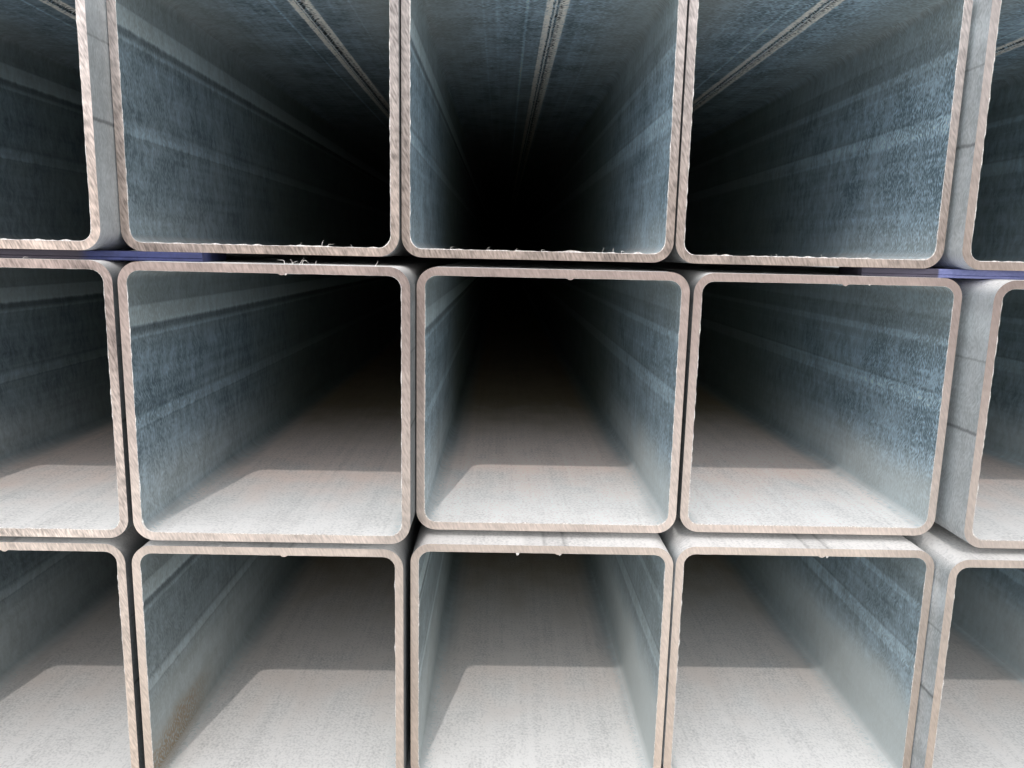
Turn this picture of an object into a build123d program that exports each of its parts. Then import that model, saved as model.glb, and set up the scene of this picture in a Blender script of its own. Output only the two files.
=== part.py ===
from build123d import *
from collections import namedtuple
import math
import os

os.makedirs("parts", exist_ok=True)

# Stack of square steel tubes: three rows of five, with flat blue strips laid across between the rows.
# +X is to the right, +Y runs along the tubes away from the sawn ends that show, +Z is up.
# The origin is at the middle of the underside of the stack's box. All lengths are in millimetres.

# The tube: zinc-coated strip bent to a square, welded along its top wall and sawn to length
tube_width = 100.0
tube_wall = 3.0
tube_length = 6000.0
corner_radius = 7.5

# The weld bead left standing inside the top wall
seam_offset = 6.0
bead_width = 2.6
bead_height = 0.6

# The strips: two plies on each other, with rolled edges, which carry the row above
strip_width = 30.0
thick_ply = 2.2
thin_ply = 1.1
rolled_edge_radius = 0.4

# Full strips cross the whole stack: one near each end, this far in from the outermost tube end, and one halfway
full_strip_distance = 600.0
full_strip_inset = 8.0

# Short strips lie near the ends, under the outer tubes of the top row, and run on under their neighbours
short_strip_inset = 2.0
left_strip_reach = 31.0
right_strip_reach = 28.0
left_strip_setback = 9.0
right_strip_setback = 20.5
left_strip_skew = 4.0
right_strip_skew = -8.0

# The rows from the bottom up. A shift moves a row's middle tube to the right of the middle row's.
# Gaps lie between neighbouring tubes, and setbacks run from the foremost end to each tube's own end.
Row = namedtuple("Row", "name shift gaps setbacks")
rows = [
    Row("bottom", -1.5, (2.9, 2.0, 1.3, 0.5), (4.0, 3.0, 9.0, 10.5, 2.0)),
    Row("middle", 0.0, (2.5, 0.5, 2.0, 4.2), (1.5, 0.0, 15.5, 17.5, 5.5)),
    Row("top", -6.0, (0.4, 0.5, 0.9, 2.0), (3.5, 17.0, 20.0, 20.5, 12.5)),
]

# Sizes that follow from those above
bore_width = tube_width - 2 * tube_wall
bore_radius = max(corner_radius - tube_wall, 0.1)
bead_radius = (bead_width ** 2 / 4 + bead_height ** 2) / (2 * bead_height)
strip_height = thick_ply + thin_ply
row_pitch = tube_width + strip_height


def tube_centres(row):
    """Gives the X of each tube's middle in a row, measured from the middle tube of the middle row."""
    centres = [0.0]
    for gap in row.gaps:
        centres.append(centres[-1] + tube_width + gap)
    middle = centres[len(centres) // 2]
    return [x - middle + row.shift for x in centres]


# The stack's sides and ends, and the origin between them
centres_of = {row.name: tube_centres(row) for row in rows}
left_side = min(centres[0] for centres in centres_of.values()) - tube_width / 2
right_side = max(centres[-1] for centres in centres_of.values()) + tube_width / 2
origin_x = (left_side + right_side) / 2
setbacks = [setback for row in rows for setback in row.setbacks]
stack_length = tube_length + max(setbacks) - min(setbacks)
front_end = -stack_length / 2 - min(setbacks)
full_strip_places = {
    "front": full_strip_distance,
    "middle": (stack_length - strip_width) / 2,
    "rear": stack_length - full_strip_distance - strip_width,
}


def tube_section():
    """The square ring that is sawn through at each end, with the bead inside its top wall."""
    bead_height_up = bore_width / 2 - bead_height + bead_radius
    bead = Pos(seam_offset, bead_height_up) * Circle(bead_radius)
    bore = RectangleRounded(bore_width, bore_width, bore_radius) - bead
    return RectangleRounded(tube_width, tube_width, corner_radius) - bore


def tube(x, front, underside):
    """One tube that runs from its front end towards +Y."""
    section_plane = Plane(origin=(x, front, underside + tube_width / 2), x_dir=(1, 0, 0), z_dir=(0, -1, 0))
    return extrude(section_plane * tube_section(), -tube_length)


def ply(length, thickness):
    """One flat strip along X with rolled long edges. Its front edge's middle is at the origin."""
    edge_radius = min(rolled_edge_radius, 0.45 * thickness)
    section = Pos(strip_width / 2, thickness / 2) * RectangleRounded(strip_width, thickness, edge_radius)
    return Pos(-length / 2, 0, 0) * extrude(Plane.YZ * section, length)


def export_strip(name, left, right, underside, pivot, skew=0.0):
    """Two plies from left to right. The front edge passes through the pivot (x, y) and turns by skew degrees."""
    x_pivot, y_pivot = pivot
    length = (right - left) / math.cos(math.radians(skew))
    middle = (left + right) / 2
    y_middle = y_pivot + (middle - x_pivot) * math.tan(math.radians(skew))
    for ply_name, thickness, lift in (("thin", thin_ply, 0.0), ("thick", thick_ply, thin_ply)):
        place = Pos(middle, y_middle, underside + lift) * Rot(0, 0, skew)
        export_step(place * ply(length, thickness), f"parts/{name}_{ply_name}_ply.step")


# Tubes, row by row from the bottom and from left to right
for level, row in enumerate(rows):
    for number, (x, setback) in enumerate(zip(centres_of[row.name], row.setbacks), start=1):
        solid = tube(x - origin_x, front_end + setback, level * row_pitch)
        export_step(solid, f"parts/tube_{row.name}_{number}.step")

# Full strips in both gaps between the rows
for level, gap_name in enumerate(("lower_gap", "upper_gap"), start=1):
    underside = level * row_pitch - strip_height
    below, above = (centres_of[row.name] for row in rows[level - 1:level + 1])
    left = max(below[0], above[0]) - tube_width / 2 + full_strip_inset - origin_x
    right = min(below[-1], above[-1]) + tube_width / 2 - full_strip_inset - origin_x
    for place_name, distance in full_strip_places.items():
        name = f"strip_{gap_name}_{place_name}"
        export_strip(name, left, right, underside, (left, front_end + distance))

# Short strips under the top row's outer tubes
top_row = rows[-1]
top_centres = centres_of[top_row.name]
top_underside = (len(rows) - 1) * row_pitch - strip_height
left_joint = top_centres[1] - tube_width / 2 - origin_x
export_strip(
    "strip_short_left",
    top_centres[0] - tube_width / 2 + short_strip_inset - origin_x,
    left_joint + left_strip_reach,
    top_underside,
    (left_joint, front_end + left_strip_setback),
    left_strip_skew,
)
right_joint = top_centres[-2] + tube_width / 2 - origin_x
export_strip(
    "strip_short_right",
    right_joint - right_strip_reach,
    top_centres[-1] + tube_width / 2 - short_strip_inset - origin_x,
    top_underside,
    (right_joint, front_end + right_strip_setback),
    right_strip_skew,
)
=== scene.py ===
import math
import random
from collections import namedtuple

import bmesh
import bpy
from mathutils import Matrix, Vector


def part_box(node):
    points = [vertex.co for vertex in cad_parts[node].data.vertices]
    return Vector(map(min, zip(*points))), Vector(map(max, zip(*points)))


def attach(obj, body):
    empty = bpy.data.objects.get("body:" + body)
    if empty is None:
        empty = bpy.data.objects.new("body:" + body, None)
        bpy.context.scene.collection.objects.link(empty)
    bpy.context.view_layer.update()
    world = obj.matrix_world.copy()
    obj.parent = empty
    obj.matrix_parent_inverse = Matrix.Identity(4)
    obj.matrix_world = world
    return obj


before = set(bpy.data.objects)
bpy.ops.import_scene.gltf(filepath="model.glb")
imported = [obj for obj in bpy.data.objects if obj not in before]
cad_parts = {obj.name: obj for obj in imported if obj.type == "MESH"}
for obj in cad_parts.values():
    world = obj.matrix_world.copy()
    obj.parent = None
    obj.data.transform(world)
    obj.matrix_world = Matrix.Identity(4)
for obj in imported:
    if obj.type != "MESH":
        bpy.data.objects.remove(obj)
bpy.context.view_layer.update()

# Everything is in metres. +X is to the right, +Y runs along the tubes away from the near ends, +Z is up.
mm = 0.001

# The tube's section, as the CAD has it
tube_width = 100 * mm
tube_wall = 3 * mm
corner_radius = 7.5 * mm
half_width = tube_width / 2
half_bore = half_width - tube_wall


# Small helpers for node trees

def connect(tree, source, socket):
    """Puts a number, a colour or another node's output into a socket."""
    if isinstance(source, bpy.types.NodeSocket):
        tree.links.new(source, socket)
    else:
        socket.default_value = source


def calculate(tree, operation, *values, limited=False):
    """A Math node on these numbers and outputs."""
    node = tree.nodes.new("ShaderNodeMath")
    node.operation = operation
    node.use_clamp = limited
    for value, socket in zip(values, node.inputs):
        connect(tree, value, socket)
    return node.outputs["Value"]


def multiply(tree, first, *others):
    """The product of several masks or numbers."""
    product = first
    for other in others:
        product = calculate(tree, "MULTIPLY", product, other)
    return product


def ramp(tree, value, zero_at, one_at):
    """A soft mask that goes from 0 to 1 as the value goes from zero_at to one_at."""
    node = tree.nodes.new("ShaderNodeMapRange")
    node.interpolation_type = "SMOOTHSTEP"
    connect(tree, value, node.inputs["Value"])
    connect(tree, zero_at, node.inputs["From Min"])
    connect(tree, one_at, node.inputs["From Max"])
    return node.outputs["Result"]


def blend_colours(tree, factor, first, second):
    """The first colour where the factor is 0 and the second where it is 1."""
    node = tree.nodes.new("ShaderNodeMix")
    node.data_type = "RGBA"
    connect(tree, factor, node.inputs[0])
    connect(tree, first, node.inputs[6])
    connect(tree, second, node.inputs[7])
    return node.outputs[2]


def blend_values(tree, factor, first, second):
    """The first number where the factor is 0 and the second where it is 1."""
    node = tree.nodes.new("ShaderNodeMix")
    connect(tree, factor, node.inputs[0])
    connect(tree, first, node.inputs[2])
    connect(tree, second, node.inputs[3])
    return node.outputs[0]


def scale_colour(tree, colour, factor):
    """The colour times a factor."""
    node = tree.nodes.new("ShaderNodeVectorMath")
    node.operation = "SCALE"
    connect(tree, colour, node.inputs[0])
    connect(tree, factor, node.inputs["Scale"])
    return node.outputs["Vector"]


def stretch(tree, vector, scale):
    """The vector with each axis scaled."""
    node = tree.nodes.new("ShaderNodeVectorMath")
    node.operation = "MULTIPLY"
    connect(tree, vector, node.inputs[0])
    connect(tree, scale, node.inputs[1])
    return node.outputs["Vector"]


def join(tree, x, y, z):
    """A vector from three numbers or outputs."""
    node = tree.nodes.new("ShaderNodeCombineXYZ")
    for value, socket in zip((x, y, z), node.inputs):
        connect(tree, value, socket)
    return node.outputs["Vector"]


def split(tree, vector):
    """The three outputs of a vector."""
    node = tree.nodes.new("ShaderNodeSeparateXYZ")
    connect(tree, vector, node.inputs["Vector"])
    return node.outputs["X"], node.outputs["Y"], node.outputs["Z"]


def noise(tree, vector, scale=1.0, detail=2.0, roughness=0.5, distortion=0.0):
    """Smooth noise between 0 and 1 with one cell in 1/scale."""
    node = tree.nodes.new("ShaderNodeTexNoise")
    connect(tree, vector, node.inputs["Vector"])
    connect(tree, scale, node.inputs["Scale"])
    connect(tree, detail, node.inputs["Detail"])
    connect(tree, roughness, node.inputs["Roughness"])
    connect(tree, distortion, node.inputs["Distortion"])
    return node.outputs["Fac"]


def flat_noise(tree, first, second, first_scale, second_scale, seed, detail=1.0, roughness=0.5):
    """Smooth noise over two directions, each with its own scale in cells a metre."""
    node = tree.nodes.new("ShaderNodeTexNoise")
    node.noise_dimensions = "2D"
    along = calculate(tree, "MULTIPLY_ADD", first, first_scale, seed)
    round_it = calculate(tree, "MULTIPLY_ADD", second, second_scale, seed)
    connect(tree, join(tree, along, round_it, 0.0), node.inputs["Vector"])
    node.inputs["Scale"].default_value = 1.0
    node.inputs["Detail"].default_value = detail
    node.inputs["Roughness"].default_value = roughness
    return node.outputs["Fac"]


def profile(tree, position, stops, reach=50.0):
    """A tone that follows these stops of (millimetres from the middle, tone), as far as the reach."""
    node = tree.nodes.new("ShaderNodeValToRGB")
    scaled = calculate(tree, "MULTIPLY_ADD", position, 1 / (2 * reach * mm), 0.5)
    connect(tree, scaled, node.inputs["Fac"])
    marks = node.color_ramp.elements
    marks.remove(marks[1])
    for number, (millimetres, tone) in enumerate(stops):
        place = 0.5 + millimetres / (2 * reach)
        mark = marks.new(place) if number else marks[0]
        mark.position = place
        mark.color = (tone, tone, tone, 1)
    return split(tree, node.outputs["Color"])[0]


def object_place(tree):
    """Where the surface is in the object, in metres."""
    return tree.nodes.new("ShaderNodeTexCoord").outputs["Object"]


def start_group(name, inputs, outputs):
    """A shader node group with these sockets, and its input and output nodes' sockets."""
    group = bpy.data.node_groups.new(name, "ShaderNodeTree")
    for label, (kind, value) in inputs.items():
        socket = group.interface.new_socket(name=label, in_out="INPUT", socket_type="NodeSocket" + kind)
        socket.default_value = value
    for label, kind in outputs.items():
        group.interface.new_socket(name=label, in_out="OUTPUT", socket_type="NodeSocket" + kind)
    entry = group.nodes.new("NodeGroupInput").outputs
    result = group.nodes.new("NodeGroupOutput").inputs
    return group, entry, result


def use_group(tree, group, **values):
    """Places a group in a tree. A value's name is its socket's, with _ for each space."""
    node = tree.nodes.new("ShaderNodeGroup")
    node.node_tree = group
    for label, value in values.items():
        connect(tree, value, node.inputs[label.replace("_", " ")])
    return node.outputs


# The shared finishes of the tubes

# How far past the bore's walls the tube still counts as inside, how squarely a sawn end faces along Y,
# how much sideways the saw's marks go for each step up, and how short they are
bore_skin = 0.4 * mm
sawn_facing = 0.7
saw_lean = 0.4
saw_shortening = 0.9

# A pair for a mask, here and below, says where the mask is 0 and where it is 1.
# These two say how squarely a face has to look one way for that side's finish.
inner_facing = (0.25, 0.95)
outer_facing = (0.15, 0.9)


def facing_mask(tree, amount, facing, sign=1):
    """1 where the amount is large in the sign's direction, and 0 where it is small or the other way."""
    return ramp(tree, amount, sign * facing[0], sign * facing[1])


def make_tube_place():
    """Where a surface is on its own tube, and which part of the tube it is."""
    group, entry, result = start_group(
        "Place on tube",
        {
            "Centre Across": ("Float", 0.0),
            "Centre Up": ("Float", 0.0),
            "Near End": ("Float", 0.0),
            "Length": ("Float", 6.0),
        },
        {
            "Across": "Float",
            "Up": "Float",
            "Round": "Float",
            "Depth": "Float",
            "Slant": "Float",
            "Outside": "Float",
            "Sawn End": "Float",
            "Floor": "Float",
            "Ceiling": "Float",
            "Left Wall": "Float",
            "Right Wall": "Float",
            "Top Face": "Float",
            "Outer Left": "Float",
            "Outer Right": "Float",
        },
    )
    x, y, z = split(group, object_place(group))
    across = calculate(group, "SUBTRACT", x, entry["Centre Across"])
    up = calculate(group, "SUBTRACT", z, entry["Centre Up"])
    from_near_end = calculate(group, "SUBTRACT", y, entry["Near End"])
    from_far_end = calculate(group, "SUBTRACT", entry["Length"], from_near_end)
    aside = calculate(group, "ABSOLUTE", across)
    above = calculate(group, "ABSOLUTE", up)
    farthest = calculate(group, "MAXIMUM", aside, above)
    outside = calculate(group, "GREATER_THAN", farthest, half_bore + bore_skin)
    inside = calculate(group, "SUBTRACT", 1.0, outside)
    facing = group.nodes.new("ShaderNodeNewGeometry").outputs["Normal"]
    along_tube = calculate(group, "ABSOLUTE", split(group, facing)[1])
    sawn = calculate(group, "GREATER_THAN", along_tube, sawn_facing)
    on_side = calculate(group, "GREATER_THAN", aside, above)
    inner_x, _, inner_z = split(group, scale_colour(group, facing, inside))
    outer_x, _, outer_z = split(group, scale_colour(group, facing, outside))
    connect(group, across, result["Across"])
    connect(group, up, result["Up"])
    along_marks = calculate(group, "MULTIPLY_ADD", up, saw_lean, across)
    round_tube = blend_values(group, on_side, across, up)
    connect(group, blend_values(group, sawn, round_tube, along_marks), result["Round"])
    connect(group, calculate(group, "MINIMUM", from_near_end, from_far_end), result["Depth"])
    connect(group, multiply(group, sawn, up, saw_shortening), result["Slant"])
    connect(group, outside, result["Outside"])
    connect(group, sawn, result["Sawn End"])
    connect(group, facing_mask(group, inner_z, inner_facing), result["Floor"])
    connect(group, facing_mask(group, inner_z, inner_facing, -1), result["Ceiling"])
    connect(group, facing_mask(group, inner_x, inner_facing), result["Left Wall"])
    connect(group, facing_mask(group, inner_x, inner_facing, -1), result["Right Wall"])
    connect(group, facing_mask(group, outer_z, outer_facing), result["Top Face"])
    connect(group, facing_mask(group, outer_x, outer_facing, -1), result["Outer Left"])
    connect(group, facing_mask(group, outer_x, outer_facing), result["Outer Right"])
    return group


# The grain's cells in a metre, along the tube and round it
blotch_cells = (42, 60)
swirl_cells = (120, 170)
wisp_cells = (320, 120)
streak_cells = (7, 330)
# The fine grain's cells on zinc, and how they change with the level: 0 on zinc, 1 in dust, more on sawn ends
fine_cells = (1350.0, 560.0)
fine_cells_change = (-450.0, 350.0)
# How much the grain leans, how far blotches bend it, and how far swirls push it on zinc and for each level
grain_lean = 0.08
blotch_bend = 2.5 * mm
swirl_push = 3.8 * mm
swirl_push_change = -1.9 * mm


def make_surface_grain():
    """The fine grain, short wisps, broad blotches and lengthwise streaks that the tubes' finishes use."""
    group, entry, result = start_group(
        "Surface grain",
        {
            "Depth": ("Float", 0.0),
            "Round": ("Float", 0.0),
            "Slant": ("Float", 0.0),
            "Level": ("Float", 0.0),
            "Seed": ("Float", 0.0),
        },
        {"Fine": "Float", "Wisps": "Float", "Blotches": "Float", "Streaks": "Float"},
    )
    depth, round_it, seed = entry["Depth"], entry["Round"], entry["Seed"]
    lean = calculate(group, "ADD", depth, entry["Slant"])
    lean = calculate(group, "MULTIPLY_ADD", round_it, grain_lean, lean)
    blotches = flat_noise(group, depth, round_it, *blotch_cells, seed)
    bent = calculate(group, "MULTIPLY_ADD", blotches, blotch_bend, lean)
    swirls = flat_noise(group, depth, round_it, *swirl_cells, seed, detail=0.0)
    push = calculate(group, "MULTIPLY_ADD", entry["Level"], swirl_push_change, swirl_push)
    push = calculate(group, "MAXIMUM", push, 0.0)
    bent = calculate(group, "MULTIPLY_ADD", swirls, push, bent)
    fine_along, fine_round = [
        calculate(group, "MULTIPLY_ADD", entry["Level"], change, cells)
        for change, cells in zip(fine_cells_change, fine_cells)
    ]
    connect(group, flat_noise(group, bent, round_it, fine_along, fine_round, seed), result["Fine"])
    connect(group, flat_noise(group, bent, round_it, *wisp_cells, seed), result["Wisps"])
    connect(group, blotches, result["Blotches"])
    connect(group, flat_noise(group, lean, round_it, *streak_cells, seed), result["Streaks"])
    return group


def mottle(tree, entry, base, shares):
    """The base plus each grain's share of it."""
    tone = base
    for label, share in shares.items():
        tone = calculate(tree, "MULTIPLY_ADD", entry[label], share, tone)
    return tone


# Zinc frost and painted glints near the ends: how far blotches shift their edge, their depths and strength
frost_glints_shift = 90 * mm
frost_glints_depths = (150 * mm, 20 * mm)
frost_glints_strength = 1.8
frost_glints_base = 0.55
# Further in the zinc turns dull
dull_depths = (90 * mm, 300 * mm)
dull_share = 0.85
# The grains' shares in the zinc's tone
zinc_base = -0.67
zinc_shares = {"Wisps": 0.85, "Blotches": 0.9, "Streaks": 0.45}
zinc_roughness = (0.55, 0.42)
outer_roughness = 0.22


def make_zinc_coat():
    """Zinc coat: fine frost and painted glints near the ends, wisps running round the tube, broad mottling.
    """
    group, entry, result = start_group(
        "Zinc coat",
        {
            "Fine": ("Float", 0.5),
            "Wisps": ("Float", 0.5),
            "Blotches": ("Float", 0.5),
            "Streaks": ("Float", 0.5),
            "Depth": ("Float", 0.0),
            "Frost": ("Float", 1.0),
            "Tone": ("Float", 1.0),
            "Outside": ("Float", 0.0),
            "Dark Colour": ("Color", (0.19, 0.27, 0.32, 1)),
            "Light Colour": ("Color", (0.70, 0.88, 1.0, 1)),
            "Dull Colour": ("Color", (0.27, 0.32, 0.275, 1)),
            "Outer Dark Colour": ("Color", (0.48, 0.50, 0.50, 1)),
            "Outer Light Colour": ("Color", (0.69, 0.71, 0.72, 1)),
        },
        {"Colour": "Color", "Roughness": "Float"},
    )
    # Painted glints: the fine grain's contrast is strongest near the ends
    frost_glints_edge = calculate(group, "MULTIPLY_ADD", entry["Blotches"], frost_glints_shift, entry["Depth"])
    frost = multiply(group, ramp(group, frost_glints_edge, *frost_glints_depths), entry["Frost"])
    frost_glints_amount = calculate(group, "MULTIPLY_ADD", frost, frost_glints_strength, frost_glints_base)
    centred = calculate(group, "SUBTRACT", entry["Fine"], 0.5)
    tone = calculate(group, "MULTIPLY_ADD", centred, frost_glints_amount, zinc_base)
    tone = mottle(group, entry, tone, zinc_shares)
    inner = blend_colours(group, tone, entry["Dark Colour"], entry["Light Colour"])
    dull = multiply(group, ramp(group, frost_glints_edge, *dull_depths), dull_share)
    inner = blend_colours(group, dull, inner, entry["Dull Colour"])
    inner = scale_colour(group, inner, entry["Tone"])
    outer = blend_colours(group, tone, entry["Outer Dark Colour"], entry["Outer Light Colour"])
    connect(group, blend_colours(group, entry["Outside"], inner, outer), result["Colour"])
    roughness = blend_values(group, tone, *zinc_roughness)
    roughness = calculate(group, "MULTIPLY_ADD", entry["Outside"], outer_roughness, roughness)
    connect(group, roughness, result["Roughness"])
    return group


# This tone leaves the coat's colour as it is
neutral_tone = 0.5
# Tones across a bore's walls, in millimetres from the wall's middle
left_wall_tones = (
    (-47.0, 0.50), (-10.0, 0.50), (-9.4, 0.43), (-8.8, 0.69), (-5.2, 0.64), (-3.6, 0.42), (-2.4, 0.50),
    (22.6, 0.50), (23.2, 0.72), (24.1, 0.64), (25.3, 0.35), (26.7, 0.33), (27.8, 0.85), (34.2, 0.75),
    (34.8, 0.52), (47.0, 0.56),
)
right_wall_tones = (
    (-47.0, 0.50), (-1.8, 0.50), (-0.8, 0.68), (5.2, 0.69), (6.0, 0.40), (7.0, 0.50), (19.7, 0.50),
    (20.0, 0.60), (20.3, 0.50), (24.0, 0.50), (24.8, 0.67), (27.0, 0.65), (27.8, 0.46), (35.0, 0.47),
    (35.6, 0.58), (47.0, 0.57),
)
ceiling_tones = (
    (-47.0, 0.58), (-38.0, 0.56), (-23.0, 0.57), (-22.4, 0.70), (-21.8, 0.57), (-17.4, 0.57), (-17.0, 0.66),
    (-16.6, 0.57), (-5.9, 0.57), (-5.4, 0.92), (-4.8, 0.92), (-4.3, 0.57), (11.6, 0.58), (12.2, 0.50),
    (18.0, 0.58), (25.6, 0.60), (26.1, 0.74), (26.6, 0.60), (47.0, 0.64),
)
# The same across the outer top face, where the weld was planed off
top_face_tones = (
    (-47.0, 0.50), (-8.0, 0.50), (-6.5, 0.44), (-0.4, 0.46), (0.6, 0.32), (1.8, 0.45), (7.2, 0.45),
    (8.2, 0.30), (9.2, 0.42), (10.5, 0.50), (47.0, 0.50),
)
# And up the outer sides: a paler band near the top and two dark lines
outer_side_tones = (
    (-50.0, 0.52), (-7.2, 0.50), (-6.6, 0.26), (-6.0, 0.26), (-5.4, 0.50), (20.0, 0.52), (20.5, 0.30),
    (21.0, 0.52), (27.0, 0.54), (30.0, 0.62), (36.0, 0.62), (39.0, 0.52), (50.0, 0.50),
)


# How far the wisps shift the bands' edges, and the weld's
band_wobble = 0.6 * mm
weld_wobble = 0.8 * mm


def wobble(tree, position, wisps, reach):
    """The position, shifted to either side by the wisps."""
    shifted = calculate(tree, "MULTIPLY_ADD", wisps, reach, position)
    return calculate(tree, "SUBTRACT", shifted, reach / 2)


def make_roll_bands():
    """The bands that the rolls leave along each wall, the same on every tube, and the planed weld."""
    group, entry, result = start_group(
        "Roll bands",
        {
            "Round": ("Float", 0.0),
            "Wisps": ("Float", 0.5),
            "Left Wall": ("Float", 0.0),
            "Right Wall": ("Float", 0.0),
            "Ceiling": ("Float", 0.0),
            "Top Face": ("Float", 0.0),
            "Outside": ("Float", 0.0),
        },
        {"Tone": "Float"},
    )
    place = wobble(group, entry["Round"], entry["Wisps"], band_wobble)
    tone = blend_values(group, entry["Outside"], neutral_tone, profile(group, place, outer_side_tones))
    tone = blend_values(group, entry["Left Wall"], tone, profile(group, place, left_wall_tones))
    tone = blend_values(group, entry["Right Wall"], tone, profile(group, place, right_wall_tones))
    tone = blend_values(group, entry["Ceiling"], tone, profile(group, place, ceiling_tones))
    tone = blend_values(group, entry["Top Face"], tone, profile(group, place, top_face_tones))
    connect(group, tone, result["Tone"])
    return group


# The weld inside the top wall, in millimetres from the tube's middle, and how far that is drawn
weld_reach = 12.0
pale_strip_tones = (
    (-weld_reach, 0.0), (1.9, 0.0), (2.5, 1.0), (4.6, 1.0), (5.0, 0.0), (5.4, 0.0), (5.7, 0.8), (6.1, 0.8),
    (6.4, 0.0), (7.0, 0.0), (7.4, 0.8), (10.4, 1.0), (11.1, 0.0),
)
dark_line_tones = (
    (-weld_reach, 0.0), (4.5, 0.0), (4.9, 1.0), (5.3, 1.0), (5.6, 0.0), (6.1, 0.0), (6.4, 1.0), (7.1, 1.0),
    (7.5, 0.8), (8.8, 0.6), (9.4, 0.1), (10.2, 0.0),
)
# The fine grain that wears the pale strips and that pits the dark lines
worn_grain = (0.22, 0.50)
pit_grain = (0.56, 0.40)
# How much the pits darken the dark lines, and how dark a place has to be before it shows
pit_share = 1.1
pit_limit = 0.9
dark_line_edge = (0.0, 0.3)


def make_weld_seam():
    """The weld along the tube's top wall: pale scraped strips, and a thin bright line between dark ones."""
    group, entry, result = start_group(
        "Weld seam",
        {
            "Across": ("Float", 0.0),
            "Fine": ("Float", 0.5),
            "Wisps": ("Float", 0.5),
        },
        {"Pale Strips": "Float", "Dark Line": "Float"},
    )
    place = wobble(group, entry["Across"], entry["Wisps"], weld_wobble)
    worn = ramp(group, entry["Fine"], *worn_grain)
    pale = profile(group, place, pale_strip_tones, weld_reach)
    dark = profile(group, place, dark_line_tones, weld_reach)
    connect(group, multiply(group, pale, worn), result["Pale Strips"])
    pits = ramp(group, entry["Fine"], *pit_grain)
    pitted = calculate(group, "MULTIPLY_ADD", pits, pit_share, dark)
    pitted = calculate(group, "SUBTRACT", pitted, pit_limit, limited=True)
    connect(group, multiply(group, pitted, ramp(group, dark, *dark_line_edge)), result["Dark Line"])
    return group


# The dust's depths on a floor: where it turns warm and then brown, and how far blotches shift that
dust_shift = 60 * mm
warm_depths = (50 * mm, 135 * mm)
brown_depths = (135 * mm, 290 * mm)
dust_base = 0.40
dust_shares = {"Fine": 0.56, "Wisps": 0.14, "Blotches": 0.28, "Streaks": 0.18}
brightest_dust = 1.04


def make_floor_dust():
    """Pale dust on a bore's floor that turns browner further in."""
    group, entry, result = start_group(
        "Floor dust",
        {
            "Fine": ("Float", 0.5),
            "Wisps": ("Float", 0.5),
            "Blotches": ("Float", 0.5),
            "Streaks": ("Float", 0.5),
            "Depth": ("Float", 0.0),
            "Tone": ("Float", 1.0),
            "Front Colour": ("Color", (0.99, 0.945, 0.91, 1)),
            "Warm Colour": ("Color", (1.0, 0.79, 0.69, 1)),
            "Inner Colour": ("Color", (0.37, 0.275, 0.17, 1)),
        },
        {"Colour": "Color"},
    )
    inwards = calculate(group, "MULTIPLY_ADD", entry["Blotches"], dust_shift, entry["Depth"])
    warm = ramp(group, inwards, *warm_depths)
    brown = ramp(group, inwards, *brown_depths)
    colour = blend_colours(group, warm, entry["Front Colour"], entry["Warm Colour"])
    colour = blend_colours(group, brown, colour, entry["Inner Colour"])
    shade = mottle(group, entry, dust_base, dust_shares)
    shade = calculate(group, "MINIMUM", shade, brightest_dust)
    connect(group, scale_colour(group, colour, multiply(group, shade, entry["Tone"])), result["Colour"])
    return group


# The grains' shares in a sawn end's saw marks, around 0
saw_mark_base = -1.0
saw_mark_shares = {"Fine": 1.0, "Wisps": 0.4, "Blotches": 0.6}


def make_sawn_steel():
    """Bare sawn steel with slanted saw marks and cloudy patches."""
    group, entry, result = start_group(
        "Sawn steel",
        {
            "Fine": ("Float", 0.5),
            "Wisps": ("Float", 0.5),
            "Blotches": ("Float", 0.5),
            "Across": ("Float", 0.0),
            "Up": ("Float", 0.0),
            "Marks": ("Float", 1.0),
            "Right Tone": ("Float", 1.0),
            "Upper Colour": ("Color", (0.42, 0.36, 0.33, 1)),
            "Lower Colour": ("Color", (0.42, 0.36, 0.33, 1)),
        },
        {"Colour": "Color"},
    )
    lower = ramp(group, entry["Up"], half_width, -half_width)
    colour = blend_colours(group, lower, entry["Upper Colour"], entry["Lower Colour"])
    shade = mottle(group, entry, saw_mark_base, saw_mark_shares)
    shade = calculate(group, "MULTIPLY_ADD", shade, entry["Marks"], 1.0)
    right_side = ramp(group, entry["Across"], half_width / 2, half_width)
    shade = multiply(group, shade, blend_values(group, right_side, 1.0, entry["Right Tone"]))
    connect(group, scale_colour(group, colour, shade), result["Colour"])
    return group


tube_place = make_tube_place()
surface_grain = make_surface_grain()
zinc_coat = make_zinc_coat()
roll_bands = make_roll_bands()
weld_seam = make_weld_seam()
floor_dust = make_floor_dust()
sawn_steel = make_sawn_steel()


def new_material(name):
    """A material with an empty Principled shader, and its tree and shader."""
    material = bpy.data.materials.new(name)
    material.use_nodes = True
    tree = material.node_tree
    shader = tree.nodes["Principled BSDF"]
    return material, tree, shader


def add_bump(tree, shader, height, distance, strength=1.0):
    """Sets the shader's Normal from a height."""
    bump = tree.nodes.new("ShaderNodeBump")
    bump.inputs["Distance"].default_value = distance
    bump.inputs["Strength"].default_value = strength
    connect(tree, height, bump.inputs["Height"])
    connect(tree, bump.outputs["Normal"], shader.inputs["Normal"])
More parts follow.
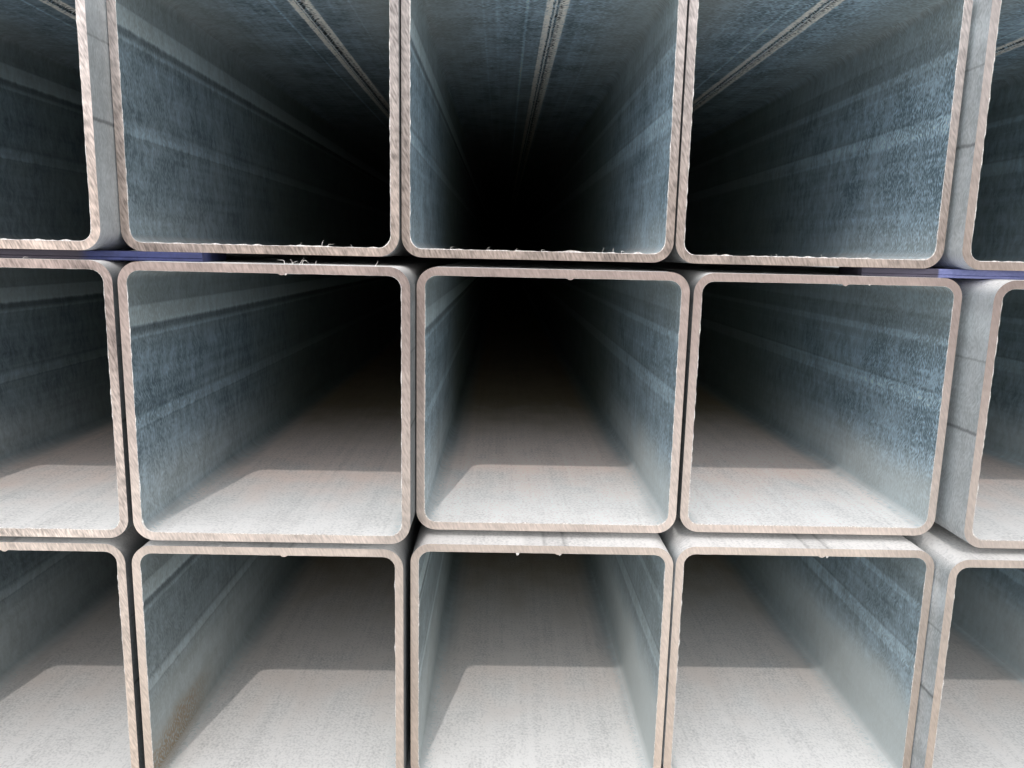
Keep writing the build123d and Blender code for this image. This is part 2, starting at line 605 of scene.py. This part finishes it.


# The finish of each tube: the tones of its coat, floor dust and sawn ends, the ends' tone on the right of
# that, how strong its saw marks are, the frost and painted glints near its ends, and its walls' grey film
TubeFinish = namedtuple("TubeFinish", "coat_tone dust_tone end_tone right_end saw_marks frost film")
tube_finishes = {
    "bottom": (
        TubeFinish(0.60, 0.80, 1.06, 0.94, 0.9, 0.5, 0.25),
        TubeFinish(0.71, 0.86, 1.04, 0.84, 0.5, 0.5, 0.40),
        TubeFinish(1.02, 0.94, 0.92, 1.14, 0.45, 0.6, 0.6),
        TubeFinish(1.00, 0.94, 1.02, 0.74, 0.45, 0.6, 0.25),
        TubeFinish(1.00, 0.84, 0.80, 1.0, 0.45, 0.7, 0.1),
    ),
    "middle": (
        TubeFinish(0.72, 0.92, 1.12, 0.86, 1.3, 0.4, 0.1),
        TubeFinish(0.82, 0.95, 0.98, 0.80, 0.8, 0.6, 0.0),
        TubeFinish(0.98, 1.02, 0.92, 1.07, 0.6, 1.0, 0.15),
        TubeFinish(1.02, 1.02, 0.99, 0.88, 0.5, 1.3, 0.0),
        TubeFinish(1.06, 0.88, 0.77, 1.0, 0.45, 0.7, 0.1),
    ),
    "top": (
        TubeFinish(0.80, 0.80, 1.72, 0.90, 1.3, 0.4, 0.1),
        TubeFinish(0.84, 0.80, 1.03, 0.97, 1.4, 0.5, 0.1),
        TubeFinish(0.96, 0.80, 0.92, 0.98, 1.4, 0.9, 0.0),
        TubeFinish(1.00, 0.80, 1.07, 0.90, 1.1, 1.4, 0.0),
        TubeFinish(1.06, 0.80, 0.88, 1.0, 0.7, 0.7, 0.1),
    ),
}

# What the rows differ in: the sawn ends' colour at the top and at the bottom, the dust on top faces,
# and the dust low on the bore's walls, with the height and the depth that it reaches,
# and the floor dust's colour a hand's breadth inside
RowFinish = namedtuple(
    "RowFinish", "upper_end lower_end top_dust low_wall_dust low_wall_top low_wall_reach warm_dust"
)
row_finishes = {
    "bottom": RowFinish(
        (0.57, 0.47, 0.40), (0.55, 0.44, 0.36), 1.0, 0.86, 6 * mm, 300 * mm, (0.86, 0.76, 0.70, 1)
    ),
    "middle": RowFinish(
        (0.38, 0.29, 0.255), (0.60, 0.50, 0.435), 1.0, 0.76, -8 * mm, 270 * mm, (1.0, 0.80, 0.71, 1)
    ),
    "top": RowFinish(
        (0.47, 0.41, 0.385), (0.355, 0.28, 0.238), 0.0, 0.44, -20 * mm, 160 * mm, (1.0, 0.80, 0.71, 1)
    ),
}


def toned(colour, tone):
    """The colour times the tone, as a socket's value."""
    return tuple(part * tone for part in colour) + (1,)


# The colours of the weld, of the dust low on the walls, and of the film and the rubbed bands above it
pale_weld = (0.80, 0.765, 0.69, 1)
black_weld = (0.01, 0.01, 0.01, 1)
wall_dust = (0.57, 0.59, 0.565, 1)
grey_film = (0.44, 0.46, 0.43, 1)
rubbed_zinc = (0.60, 0.64, 0.62, 1)

# One tube has a brown stain low on its left wall
stained_tube = "tube_bottom_2"
brown_stain = (0.34, 0.27, 0.19, 1)
stain_heights = (-20 * mm, -32 * mm)
stain_depths = (75 * mm, 25 * mm)
stain_grain = (0.25, 0.60)

# Deep in the bore the floor's dust thins and has painted shade towards the walls; in front it ends raggedly
swept_shaded_sides = (half_bore, 33 * mm)
swept_shaded_depths = (50 * mm, 130 * mm)
least_dust_shaded = 0.35
ragged_sides = (53 * mm, 46 * mm)
# The dust low on the walls, and how much of it lies on a left wall
left_wall_share = 0.55
low_wall_fade = 24 * mm
low_wall_whole = 30 * mm
# How far the grain shifts those edges
edge_shift = 10 * mm
# The rubbed bands, and the film near a bore's upper edges and on its walls
rubbed_tones = (0.58, 1.0)
rubbed_share = 0.5
film_edges = (58 * mm, 88 * mm)
film_edge_share = 0.62
film_depths = (260 * mm, 50 * mm)
# The grain's level on a sawn end, and how much further in a ceiling's frost and painted glints reach
sawn_level = 2.2
ceiling_depth = 0.45
# Metal and roughness where the zinc is bare and where it is covered, and the fine bumps
bare_metal = 0.6
covered_metal = 0.02
covered_roughness = 0.8
bump_cells = 900.0
bump_height = 0.08 * mm


def tube_material(node_name, seed, finish, row_finish, outer_tones):
    """One tube's finish: coat, roll bands, weld, dust and sawn ends, with tones for its outer faces."""
    low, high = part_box(node_name)
    material, tree, shader = new_material("zinc_" + node_name)
    place = use_group(
        tree,
        tube_place,
        Centre_Across=(low.x + high.x) / 2,
        Centre_Up=(low.z + high.z) / 2,
        Near_End=low.y,
        Length=high.y - low.y,
    )
    aside = calculate(tree, "ABSOLUTE", place["Across"])
    # The floor darkens towards the walls deep in: thinner dust and painted shade
    middle = ramp(tree, aside, *swept_shaded_sides)
    swept_shaded_edges = blend_values(tree, ramp(tree, place["Depth"], *swept_shaded_depths), 1.0, middle)
    floor_amount = multiply(tree, place["Floor"], blend_values(tree, swept_shaded_edges, least_dust_shaded, 1.0))
    dusty = calculate(tree, "MULTIPLY_ADD", place["Top Face"], row_finish.top_dust, floor_amount)
    grain = use_group(
        tree,
        surface_grain,
        Depth=place["Depth"],
        Round=place["Round"],
        Slant=place["Slant"],
        Level=calculate(tree, "MULTIPLY_ADD", place["Sawn End"], sawn_level, dusty),
        Seed=seed,
    )
    grains = {label: grain[label] for label in ("Fine", "Wisps", "Blotches")}
    coat = use_group(
        tree,
        zinc_coat,
        **grains,
        Streaks=grain["Streaks"],
        Depth=multiply(tree, place["Depth"], blend_values(tree, place["Ceiling"], 1.0, ceiling_depth)),
        Frost=finish.frost,
        Tone=finish.coat_tone,
        Outside=place["Outside"],
    )
    bands = use_group(
        tree,
        roll_bands,
        Round=place["Round"],
        Wisps=grain["Wisps"],
        Left_Wall=place["Left Wall"],
        Right_Wall=place["Right Wall"],
        Ceiling=place["Ceiling"],
        Top_Face=place["Top Face"],
        Outside=place["Outside"],
    )
    seam = use_group(tree, weld_seam, Across=place["Across"], Fine=grain["Fine"], Wisps=grain["Wisps"])
    inside_share = blend_values(tree, place["Top Face"], 1.0, 0.0)
    dust = use_group(
        tree,
        floor_dust,
        **grains,
        Streaks=grain["Streaks"],
        Depth=multiply(tree, place["Depth"], inside_share),
        Warm_Colour=row_finish.warm_dust,
        Tone=finish.dust_tone,
    )
    sawn = use_group(
        tree,
        sawn_steel,
        **grains,
        Across=place["Across"],
        Up=place["Up"],
        Marks=finish.saw_marks,
        Right_Tone=finish.right_end,
        Upper_Colour=toned(row_finish.upper_end, finish.end_tone),
        Lower_Colour=toned(row_finish.lower_end, finish.end_tone),
    )

    pale_strips = multiply(tree, place["Ceiling"], seam["Pale Strips"])
    colour = blend_colours(tree, pale_strips, coat["Colour"], pale_weld)
    colour = blend_colours(tree, multiply(tree, place["Ceiling"], seam["Dark Line"]), colour, black_weld)
    walls = calculate(tree, "ADD", place["Left Wall"], place["Right Wall"])
    rubbed = multiply(tree, walls, ramp(tree, bands["Tone"], *rubbed_tones), rubbed_share)
    colour = blend_colours(tree, rubbed, colour, rubbed_zinc)
    inside = ramp(tree, place["Outside"], 1.0, 0.0)
    to_upper_edge = calculate(tree, "ADD", aside, place["Up"])
    upper_edge = multiply(tree, ramp(tree, to_upper_edge, *film_edges), film_edge_share)
    film = calculate(tree, "MAXIMUM", upper_edge, multiply(tree, walls, finish.film))
    film = multiply(tree, film, inside, ramp(tree, place["Depth"], *film_depths))
    colour = blend_colours(tree, film, colour, grey_film)
    low_edge = calculate(tree, "MULTIPLY_ADD", grain["Blotches"], edge_shift, place["Up"])
    low_wall = multiply(
        tree,
        blend_values(tree, place["Left Wall"], inside, left_wall_share),
        ramp(tree, low_edge, row_finish.low_wall_top, row_finish.low_wall_top - low_wall_fade),
        ramp(tree, place["Depth"], row_finish.low_wall_reach, low_wall_whole),
        row_finish.low_wall_dust,
    )
    colour = blend_colours(tree, low_wall, colour, wall_dust)
    if node_name == stained_tube:
        stain = multiply(
            tree,
            place["Left Wall"],
            ramp(tree, low_edge, *stain_heights),
            ramp(tree, place["Depth"], *stain_depths),
            ramp(tree, grain["Fine"], *stain_grain),
        )
        colour = blend_colours(tree, stain, colour, brown_stain)
    ragged = calculate(tree, "MULTIPLY_ADD", grain["Fine"], edge_shift, aside)
    ragged_edges = blend_values(tree, place["Floor"], 1.0, ramp(tree, ragged, *ragged_sides))
    dusty = multiply(tree, dusty, ragged_edges)
    colour = blend_colours(tree, dusty, colour, dust["Colour"])
    tone = multiply(tree, bands["Tone"], 1 / neutral_tone)
    # The outer faces' tones, with the painted shade in the narrow gaps
    for face, face_tone in outer_tones.items():
        tone = multiply(tree, tone, blend_values(tree, place[face], 1.0, face_tone))
    colour = scale_colour(tree, colour, tone)
    colour = blend_colours(tree, place["Sawn End"], colour, sawn["Colour"])
    connect(tree, colour, shader.inputs["Base Color"])

    covered = calculate(tree, "MAXIMUM", dusty, place["Sawn End"])
    covered = calculate(tree, "MAXIMUM", covered, calculate(tree, "MAXIMUM", low_wall, pale_strips))
    connect(tree, blend_values(tree, covered, bare_metal, covered_metal), shader.inputs["Metallic"])
    roughness = blend_values(tree, covered, coat["Roughness"], covered_roughness)
    connect(tree, roughness, shader.inputs["Roughness"])
    add_bump(tree, shader, noise(tree, object_place(tree), bump_cells, 0.0), bump_height, 0.5)
    return material


# The short strips' paint, and the painted shade where they lie under the tubes
patch_cells = (60, 160, 160)
paint_cells = 900
strip_shade_colour = (0.060, 0.047, 0.056, 1)
strip_shade_share = 0.9


def blue_strip_material(name, dark_colour, light_colour, lit_from, shaded_from):
    """Blue paint on rolled steel. Painted shade covers the strip from one place along X to the other."""
    material, tree, shader = new_material(name)
    place = object_place(tree)
    patches = noise(tree, stretch(tree, place, patch_cells), 1.0, 3.0, 0.6, 0.4)
    grain = noise(tree, place, paint_cells, 2.0, 0.6)
    shade = calculate(tree, "MULTIPLY_ADD", calculate(tree, "SUBTRACT", grain, 0.5), 0.5, patches)
    colour = blend_colours(tree, ramp(tree, shade, 0.3, 0.7), dark_colour, light_colour)
    # Painted shade: the strip darkens where it lies under a tube
    shaded = multiply(tree, ramp(tree, split(tree, place)[0], lit_from, shaded_from), strip_shade_share)
    colour = blend_colours(tree, shaded, colour, strip_shade_colour)
    connect(tree, colour, shader.inputs["Base Color"])
    connect(tree, blend_values(tree, patches, 0.55, 0.75), shader.inputs["Roughness"])
    add_bump(tree, shader, grain, 0.05 * mm)
    return material


def set_material(node_name, material):
    """Gives a CAD node's object its finish."""
    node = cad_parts[node_name]
    if not node.material_slots:
        node.data.materials.append(None)
    for slot in node.material_slots:
        slot.link = "OBJECT"
        slot.material = material


# How much darker the top row's tops and the stack's outer sides are, and the painted shade in the narrow
# gaps
outermost_face_tone = 0.70
gap_shade_tone = 0.42
shaded_gap_sides = {
    "tube_top_2": ("Outer Right",),
    "tube_top_3": ("Outer Left", "Outer Right"),
    "tube_top_4": ("Outer Left",),
    "tube_bottom_1": ("Outer Right",),
    "tube_bottom_2": ("Outer Left", "Outer Right"),
    "tube_bottom_3": ("Outer Left",),
    "tube_middle_1": ("Outer Right",),
    "tube_middle_2": ("Outer Left", "Outer Right"),
    "tube_middle_3": ("Outer Left", "Outer Right"),
    "tube_middle_4": ("Outer Left",),
}

for row_number, (row_name, finishes) in enumerate(tube_finishes.items()):
    for column, finish in enumerate(finishes, start=1):
        name = f"tube_{row_name}_{column}"
        seed = 11.0 * row_number + 2.3 * column
        outer_tones = {side: gap_shade_tone for side in shaded_gap_sides.get(name, ())}
        if row_name == "top":
            outer_tones["Top Face"] = outermost_face_tone
        if column == 1:
            outer_tones["Outer Left"] = outermost_face_tone
        if column == len(finishes):
            outer_tones["Outer Right"] = outermost_face_tone
        set_material(name, tube_material(name, seed, finish, row_finishes[row_name], outer_tones))

# The short strips differ: the left one is darker, and both have painted shade towards the left
left_blue = blue_strip_material(
    "blue_strip_left", (0.022, 0.028, 0.095, 1), (0.036, 0.046, 0.150, 1), -163 * mm, -168 * mm
)
right_blue = blue_strip_material(
    "blue_strip_right", (0.155, 0.170, 0.35, 1), (0.24, 0.255, 0.49, 1), 144.8 * mm, 143.8 * mm
)
for node_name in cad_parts:
    if node_name.startswith("strip_short_right"):
        set_material(node_name, right_blue)
    elif node_name.startswith("strip_"):
        set_material(node_name, left_blue)


# Burrs that the saw left along the bores' edges, and fine curls of metal that still hang on

bore_radius = corner_radius - tube_wall
# The ragged rim: its step round the edge, the range of its height and what is added to that everywhere,
# its depth into the bore, and how far it is sunk
rim_step = 0.9 * mm
rim_heights = (0.05 * mm, 0.75 * mm)
rim_least = 0.02 * mm
rim_depth = 0.35 * mm
rim_sunk = 0.04 * mm
# A curl's thickness on the outer top edge and on the bore's edge, where it starts inside the steel,
# how far it leans back and how thin it gets
outer_curl = 0.22 * mm
bore_curl = 0.18 * mm
curl_start = 0.15 * mm
curl_sunk = 0.1 * mm
curl_lean = 0.6 * mm
curl_taper = 0.75
# A torn tag: how far its root is sunk, and how far behind the cut face its two sides are
tag_sunk = 0.2 * mm
tag_near = 0.02 * mm
tag_far = 0.5 * mm
# The torn metal's grain and colours
burr_cells = 1400.0
dark_burr_colour = (0.55, 0.49, 0.45, 1)
light_burr_colour = (0.92, 0.87, 0.82, 1)


def bright_burr_material():
    """Bare torn metal, brighter than the sawn face."""
    material, tree, shader = new_material("bright_burr")
    grain = noise(tree, object_place(tree), burr_cells, 1.0)
    colour = blend_colours(tree, ramp(tree, grain, 0.3, 0.7), dark_burr_colour, light_burr_colour)
    connect(tree, colour, shader.inputs["Base Color"])
    connect(tree, blend_values(tree, grain, 0.35, 0.55), shader.inputs["Roughness"])
    shader.inputs["Metallic"].default_value = 0.4
    add_bump(tree, shader, grain, 0.05 * mm, 0.6)
    return material


def bore_edge(step):
    """Points round the bore's rounded edge as (x, z, inward x, inward z), about a step apart."""
    points = []
    straight = half_bore - bore_radius
    count = round(2 * straight / step)
    corner_steps = 5
    for quarter in range(4):
        turn = quarter * math.pi / 2
        along = (math.cos(turn), math.sin(turn))
        inward = (-math.sin(turn), math.cos(turn))
        for number in range(count):
            place = -straight + 2 * straight * number / count
            x = along[0] * place - inward[0] * half_bore
            z = along[1] * place - inward[1] * half_bore
            points.append((x, z, inward[0], inward[1]))
        for number in range(corner_steps):
            angle = turn + number / corner_steps * math.pi / 2
            out_x = math.sin(angle)
            out_z = -math.cos(angle)
            x = along[0] * straight - inward[0] * straight + bore_radius * out_x
            z = along[1] * straight - inward[1] * straight + bore_radius * out_z
            points.append((x, z, -out_x, -out_z))
    return points


def ragged_heights(chance, count, smallest, largest):
    """Burr heights round a closed edge: runs of a few steps that rise and fall."""
    heights = [smallest + (largest - smallest) * chance.random() ** 3 for _ in range(count)]
    return [
        0.25 * heights[number - 1] + 0.5 * heights[number] + 0.25 * heights[(number + 1) % count]
        for number in range(count)
    ]


# The burrs' share of their height along each side of a bore's edge, and where the top and bottom begin
side_begins = 0.9 * half_bore
top_share = 0.15
bottom_share = 1.0
left_share = 0.75
right_share = 0.6


def burr_share(x, z):
    """How much burr stands at this place of the bore's edge: most at the bottom, hardly any at the top."""
    if z > side_begins:
        return top_share
    if z < -side_begins:
        return bottom_share
    return left_share if x < 0 else right_share


def add_burr_rim(mesh, centre, y_end, inwards, chance):
    """A thin ragged rim round a bore's edge. Inwards is +1 at the near end and -1 at the far end."""
    places = bore_edge(rim_step)
    heights = ragged_heights(chance, len(places), *rim_heights)
    rings = []
    for (x, z, inward_x, inward_z), height in zip(places, heights):
        height = height * burr_share(x, z) + rim_least
        foot_x = centre[0] + x - inward_x * rim_sunk
        foot_z = centre[1] + z - inward_z * rim_sunk
        crest_x = foot_x + inward_x * (height + rim_sunk)
        crest_z = foot_z + inward_z * (height + rim_sunk)
        rings.append((
            mesh.verts.new((foot_x, y_end + inwards * 0.01 * mm, foot_z)),
            mesh.verts.new((crest_x, y_end + inwards * 0.04 * mm, crest_z)),
            mesh.verts.new((foot_x, y_end + inwards * rim_depth, foot_z)),
        ))
    for first, second in zip(rings, rings[1:] + rings[:1]):
        for side in range(3):
            after = (side + 1) % 3
            mesh.faces.new((first[side], second[side], second[after], first[after]))


def add_curl(mesh, start, reach, thickness, chance):
    """A hair of metal from its start along the reach. It tapers, bends and leans back a little."""
    sides = 4
    steps = 7
    sway = chance.uniform(-0.5, 0.5)
    bend = chance.uniform(2.0, 5.0)
    rings = []
    for number in range(steps + 1):
        part = number / steps
        wave = sway * math.sin(bend * part)
        x = start[0] + reach[0] * part + reach[1] * wave
        y = start[1] + curl_lean * part
        z = start[2] + reach[1] * part - reach[0] * wave
        radius = thickness / 2 * (1 - curl_taper * part)
        ring = []
        for side in range(sides):
            angle = 2 * math.pi * side / sides
            ring.append(mesh.verts.new((x + radius * math.cos(angle), y, z + radius * math.sin(angle))))
        rings.append(ring)
    for lower, upper in zip(rings, rings[1:]):
        for side in range(sides):
            after = (side + 1) % sides
            mesh.faces.new((lower[side], lower[after], upper[after], upper[side]))
    mesh.faces.new(rings[0][::-1])
    mesh.faces.new(rings[-1])


def add_tag(mesh, centre, across, y_end, size):
    """A torn tag that hangs from the weld at the top of the bore's edge."""
    top = centre[1] + half_bore + tag_sunk
    middle = centre[0] + across
    outline = ((-0.5, 0.0), (-0.35, -0.55), (-0.1, -1.0), (0.15, -0.6), (0.3, -0.8), (0.5, 0.0))
    y_near = y_end + tag_near
    y_far = y_end + tag_far
    near = [mesh.verts.new((middle + x * size, y_near, top + z * size)) for x, z in outline]
    far = [mesh.verts.new((middle + x * size * 0.8, y_far, top + z * size * 0.7)) for x, z in outline]
    mesh.faces.new(near)
    mesh.faces.new(far[::-1])
    count = len(outline)
    for number in range(count):
        after = (number + 1) % count
        mesh.faces.new((near[number], far[number], far[after], near[after]))


# Curls on the outer top edge and on the bore's bottom edge: the place across in millimetres, then the reach
outer_top_curls = {
    "tube_middle_2": (
        (7, -2.0, 2.2), (9, 2.4, 1.4), (10, -1.2, 1.9), (12, 1.5, 2.4), (13, 3.0, 0.8), (15, -2.0, 1.2),
        (17, 1.0, 1.6), (37, 2.0, 1.2), (39, -0.8, 1.5),
    ),
    "tube_middle_1": ((20, 1.4, 1.0), (-8, -1.0, 1.2)),
    "tube_bottom_2": ((-18, 1.5, 0.8), (31, -1.2, 0.9)),
}
bore_bottom_curls = {
    "tube_top_2": (
        (-30, 0.5, 1.4), (-5, -0.8, 1.0), (14, 0.9, 1.2), (22, 0.6, 2.6), (24, 2.0, 1.6), (33, -0.7, 1.2),
    ),
    "tube_top_3": (
        (-32, 0.8, 1.4), (-18, -0.4, 1.3), (-8, 0.5, 1.2), (1.5, 0.9, 1.1), (13, -0.6, 1.4),
        (25, -1.2, 1.8), (28, 1.0, 2.0), (31, 1.6, 1.0),
    ),
    "tube_top_4": ((-34, -0.5, 1.2), (-15, 0.6, 1.3), (-12, -1.0, 0.9), (4, 0.8, 1.5), (18, 0.4, 1.2)),
    "tube_top_5": ((-38, 0.8, 0.9), (-20, -0.6, 1.0)),
}
weld_tags = {
    "tube_bottom_3": ((-9.5, 1.5), (6.6, 1.3)),
    "tube_bottom_4": ((8.0, 1.1),),
    "tube_middle_2": ((7.4, 1.0),),
    "tube_middle_4": ((6.2, 1.1), (15.0, 0.7)),
}


def make_burrs(node_name, seed, material):
    """All that the saw left on one tube, as one piece."""
    low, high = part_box(node_name)
    centre = ((low.x + high.x) / 2, (low.z + high.z) / 2)
    chance = random.Random(seed)
    mesh = bmesh.new()
    add_burr_rim(mesh, centre, low.y, 1, chance)
    add_burr_rim(mesh, centre, high.y, -1, chance)
    edges = (
        (outer_top_curls, high.z - curl_sunk, outer_curl),
        (bore_bottom_curls, centre[1] - half_bore - curl_sunk, bore_curl),
    )
    for curls, edge_z, thickness in edges:
        for across, reach_x, reach_z in curls.get(node_name, ()):
            start = (centre[0] + across * mm, low.y + curl_start, edge_z)
            add_curl(mesh, start, (reach_x * mm, reach_z * mm), thickness, chance)
    for across, size in weld_tags.get(node_name, ()):
        add_tag(mesh, centre, across * mm, low.y, size * mm)
    bmesh.ops.recalc_face_normals(mesh, faces=mesh.faces)
    data = bpy.data.meshes.new("burrs_" + node_name)
    mesh.to_mesh(data)
    mesh.free()
    data.materials.append(material)
    piece = bpy.data.objects.new("burrs_" + node_name, data)
    bpy.context.scene.collection.objects.link(piece)
    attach(piece, "root")


bright_burr = bright_burr_material()
for row_number, (row_name, finishes) in enumerate(tube_finishes.items()):
    for column in range(1, len(finishes) + 1):
        make_burrs(f"tube_{row_name}_{column}", 100 * row_number + column, bright_burr)


# The floor that the stack stands on, which isn't part of it

def make_mesh_object(name, corners, material):
    """A flat four-sided piece."""
    mesh = bpy.data.meshes.new(name)
    mesh.from_pydata(corners, [], [(0, 1, 2, 3)])
    mesh.materials.append(material)
    piece = bpy.data.objects.new(name, mesh)
    bpy.context.scene.collection.objects.link(piece)
    return piece


def floor_material():
    """Plain pale concrete."""
    material, tree, shader = new_material("pale_floor")
    place = object_place(tree)
    clouds = noise(tree, place, 1.3, 4.0, 0.6)
    colour = blend_colours(tree, clouds, (0.50, 0.50, 0.49, 1), (0.55, 0.55, 0.54, 1))
    connect(tree, colour, shader.inputs["Base Color"])
    shader.inputs["Roughness"].default_value = 0.85
    return material


floor_reach = 40.0
floor_corners = [(-1, -1), (1, -1), (1, 1), (-1, 1)]
pale_floor = make_mesh_object(
    "pale_floor",
    [(x * floor_reach, y * floor_reach, 0.0) for x, y in floor_corners],
    floor_material(),
)

# A dark card halfway down the one tube that the camera sees through, whose far end is dark in the photo
# The card is painted shade: a dark sheet that keeps that bore's far end dark
shade_card_material, _, shade_card_shader = new_material("shade_card")
shade_card_shader.inputs["Base Color"].default_value = (0.01, 0.01, 0.01, 1)
shade_card_shader.inputs["Roughness"].default_value = 0.9
card_low, card_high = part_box("tube_top_3")
card_x = (card_low.x + card_high.x) / 2
card_z = (card_low.z + card_high.z) / 2
card_half = half_bore - 1 * mm
shade_card = make_mesh_object(
    "shade_card",
    [(card_x + x * card_half, 0.0, card_z + z * card_half) for x, z in floor_corners],
    shade_card_material,
)


# Light: one sun and a soft sky

sun_travel = Vector((16, 82, -94))
sun_level = 0.28
sun_degrees = 0.8
sun_colour = (1.0, 0.97, 0.94)
sun = bpy.data.lights.new("sun", "SUN")
sun.energy = math.pi * sun_level
sun.angle = math.radians(sun_degrees)
sun.color = sun_colour
sun_object = bpy.data.objects.new("sun", sun)
sun_object.rotation_euler = sun_travel.to_track_quat("-Z", "Y").to_euler()
bpy.context.scene.collection.objects.link(sun_object)

left_sky = (2.18, 2.31, 2.45, 1)
right_sky = (1.30, 1.30, 1.32, 1)
rear_sky = (0.68, 0.71, 0.74, 1)
side_turn = (-0.8, 0.8)
rear_turn = (-0.95, 0.45)
world = bpy.data.worlds.new("soft_sky")
world.use_nodes = True
sky_tree = world.node_tree
sky_direction = sky_tree.nodes.new("ShaderNodeTexCoord").outputs["Generated"]
sky_side, sky_rear = split(sky_tree, sky_direction)[:2]
front_sky = blend_colours(sky_tree, ramp(sky_tree, sky_side, *side_turn), left_sky, right_sky)
sky_colour = blend_colours(sky_tree, ramp(sky_tree, sky_rear, *rear_turn), front_sky, rear_sky)
connect(sky_tree, sky_colour, sky_tree.nodes["Background"].inputs["Color"])
bpy.context.scene.world = world


# The camera, fitted to the photo's edges

focal_pixels = 761.888
image_width = 1024
sensor_width = 36.0
camera_place = (-0.01869, -3.27484, 0.20913)
camera_degrees = (80.2028, -1.2645, -0.7225)
camera_data = bpy.data.cameras.new("camera")
camera_data.sensor_width = sensor_width
camera_data.lens = sensor_width * focal_pixels / image_width
camera_data.clip_start = 0.01
camera_data.clip_end = 200.0
camera = bpy.data.objects.new("camera", camera_data)
camera.location = camera_place
camera.rotation_euler = [math.radians(angle) for angle in camera_degrees]
bpy.context.scene.collection.objects.link(camera)
bpy.context.scene.camera = camera

bpy.context.scene.view_settings.view_transform = "Standard"
